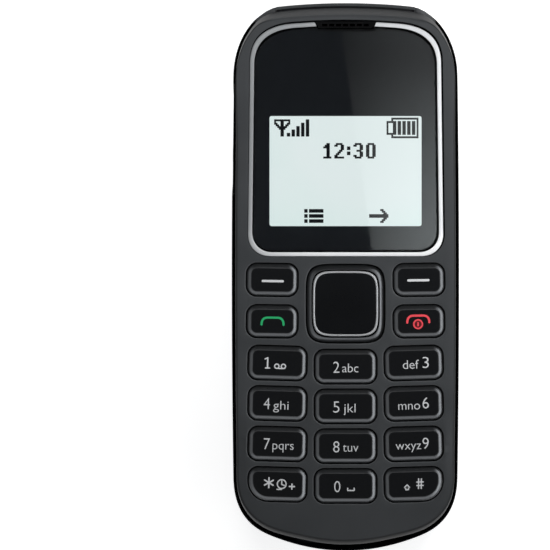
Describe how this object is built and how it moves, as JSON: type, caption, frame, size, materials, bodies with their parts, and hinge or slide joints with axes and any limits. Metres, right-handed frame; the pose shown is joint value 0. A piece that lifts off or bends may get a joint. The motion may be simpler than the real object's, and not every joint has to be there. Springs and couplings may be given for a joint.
{
  "type": "feature phone",
  "caption": "Candy-bar feature phone with numeric keypad, rocking navigation key, lit display, side charging socket, end torch and lift-off back cover.",
  "frame": {"origin": "middle of the flat back face that the phone lies on", "axes": "+X to the phone's right seen from the front, +Y towards its top end, +Z out of the display"},
  "size_m": [0.0444, 0.1072, 0.0155],
  "materials": {
    "front_plastic": "fine moulded texture, satin",
    "band_plastic": "satin",
    "back_plastic": "soft satin",
    "torch_black": "polished",
    "window_clear": "clear acrylic",
    "window_black": "printed film",
    "torch_clear": "clear acrylic",
    "bright_trim": "satin plated",
    "key_black": "semi-gloss",
    "nav_grey": "semi-gloss",
    "nav_black": "gloss",
    "pad_rubber": "matt",
    "seal_rubber": "matt",
    "screen_glass": "lit liquid-crystal panel",
    "guide_white": "clear moulding",
    "board_green": "solder mask",
    "tin": "tinned sheet",
    "chip_black": "moulded",
    "lamp_white": "lamp body",
    "film": "film with metal domes",
    "gold": "plated",
    "card_white": "satin",
    "weight_steel": "sintered",
    "carrier_black": "moulded",
    "cell_grey": "plain wrap",
    "screw_steel": "plated"
  },
  "bodies": {
    "back_cover": {"back_cover": "back_plastic"},
    "phone": {"front_cover": "front_plastic", "middle_frame": "band_plastic", "torch_cap": "torch_black", "earpiece_grille": "torch_black", "window_lens": "window_clear", "window_mask": "window_black", "torch_lens": "torch_clear", "bezel_trim": "bright_trim", "keymat": "pad_rubber", "microphone_boot": "seal_rubber", "lcd_glass": "screen_glass", "light_guide": "guide_white", "lcd_frame": "guide_white", "main_board": "board_green", "shield_cans": "tin", "sim_holder": "tin", "microphone": "tin", "vibra_motor": "tin", "chips": "chip_black", "contact_block": "chip_black", "charge_jack": "chip_black", "earpiece_speaker": "chip_black", "loudspeaker": "chip_black", "key_leds": "lamp_white", "torch_led": "lamp_white", "dome_sheet": "film", "battery_contacts": "gold", "charge_pin": "gold", "antenna_foil": "gold", "sim_card": "card_white", "antenna_carrier": "carrier_black", "battery": "cell_grey", "screws": "screw_steel"},
    "key_1": {"key_1": "key_black"},
    "key_2": {"key_2": "key_black"},
    "key_3": {"key_3": "key_black"},
    "key_4": {"key_4": "key_black"},
    "key_5": {"key_5": "key_black"},
    "key_6": {"key_6": "key_black"},
    "key_7": {"key_7": "key_black"},
    "key_8": {"key_8": "key_black"},
    "key_9": {"key_9": "key_black"},
    "key_star": {"key_star": "key_black"},
    "key_0": {"key_0": "key_black"},
    "key_hash": {"key_hash": "key_black"},
    "soft_key_left": {"soft_key_left": "key_black"},
    "soft_key_right": {"soft_key_right": "key_black"},
    "call_key": {"call_key": "key_black"},
    "end_key": {"end_key": "key_black"},
    "nav_fulcrum": {"nav_fulcrum": "pad_rubber"},
    "nav_key": {"nav_rim": "nav_grey", "nav_ring": "bright_trim", "nav_plate": "nav_black"},
    "vibra_weight": {"vibra_weight": "weight_steel"}
  },
  "joints": [
    {"name": "cover_lift", "type": "slide", "parent": "back_cover", "child": "phone", "axis": [0, 0, 1], "range_m": [0, 0.025]},
    {"name": "key_1_press", "type": "slide", "parent": "phone", "child": "key_1", "axis": [0, 0, -1], "range_m": [0, 0.0003], "stiffness_N_per_m": 2000},
    {"name": "key_2_press", "type": "slide", "parent": "phone", "child": "key_2", "axis": [0, 0, -1], "range_m": [0, 0.0003], "stiffness_N_per_m": 2000},
    {"name": "key_3_press", "type": "slide", "parent": "phone", "child": "key_3", "axis": [0, 0, -1], "range_m": [0, 0.0003], "stiffness_N_per_m": 2000},
    {"name": "key_4_press", "type": "slide", "parent": "phone", "child": "key_4", "axis": [0, 0, -1], "range_m": [0, 0.0003], "stiffness_N_per_m": 2000},
    {"name": "key_5_press", "type": "slide", "parent": "phone", "child": "key_5", "axis": [0, 0, -1], "range_m": [0, 0.0003], "stiffness_N_per_m": 2000},
    {"name": "key_6_press", "type": "slide", "parent": "phone", "child": "key_6", "axis": [0, 0, -1], "range_m": [0, 0.0003], "stiffness_N_per_m": 2000},
    {"name": "key_7_press", "type": "slide", "parent": "phone", "child": "key_7", "axis": [0, 0, -1], "range_m": [0, 0.0003], "stiffness_N_per_m": 2000},
    {"name": "key_8_press", "type": "slide", "parent": "phone", "child": "key_8", "axis": [0, 0, -1], "range_m": [0, 0.0003], "stiffness_N_per_m": 2000},
    {"name": "key_9_press", "type": "slide", "parent": "phone", "child": "key_9", "axis": [0, 0, -1], "range_m": [0, 0.0003], "stiffness_N_per_m": 2000},
    {"name": "key_star_press", "type": "slide", "parent": "phone", "child": "key_star", "axis": [0, 0, -1], "range_m": [0, 0.0003], "stiffness_N_per_m": 2000},
    {"name": "key_0_press", "type": "slide", "parent": "phone", "child": "key_0", "axis": [0, 0, -1], "range_m": [0, 0.0003], "stiffness_N_per_m": 2000},
    {"name": "key_hash_press", "type": "slide", "parent": "phone", "child": "key_hash", "axis": [0, 0, -1], "range_m": [0, 0.0003], "stiffness_N_per_m": 2000},
    {"name": "soft_key_left_press", "type": "slide", "parent": "phone", "child": "soft_key_left", "axis": [0, 0, -1], "range_m": [0, 0.0003], "stiffness_N_per_m": 2000},
    {"name": "soft_key_right_press", "type": "slide", "parent": "phone", "child": "soft_key_right", "axis": [0, 0, -1], "range_m": [0, 0.0003], "stiffness_N_per_m": 2000},
    {"name": "call_key_press", "type": "slide", "parent": "phone", "child": "call_key", "axis": [0, 0, -1], "range_m": [0, 0.0003], "stiffness_N_per_m": 2000},
    {"name": "end_key_press", "type": "slide", "parent": "phone", "child": "end_key", "axis": [0, 0, -1], "range_m": [0, 0.0003], "stiffness_N_per_m": 2000},
    {"name": "nav_up_down", "type": "hinge", "parent": "phone", "child": "nav_fulcrum", "pos_m": [0, -0.0052, 0.0106], "axis": [1, 0, 0], "range_deg": [-2, 2], "stiffness_Nm_per_rad": 0.1},
    {"name": "nav_left_right", "type": "hinge", "parent": "nav_fulcrum", "child": "nav_key", "pos_m": [0, -0.0052, 0.0106], "axis": [0, 1, 0], "range_deg": [-2, 2], "stiffness_Nm_per_rad": 0.1},
    {"name": "vibra_spin", "type": "hinge", "parent": "phone", "child": "vibra_weight", "pos_m": [0.013, 0.0215, 0.005], "axis": [0, 1, 0], "continuous": true}
  ]
}
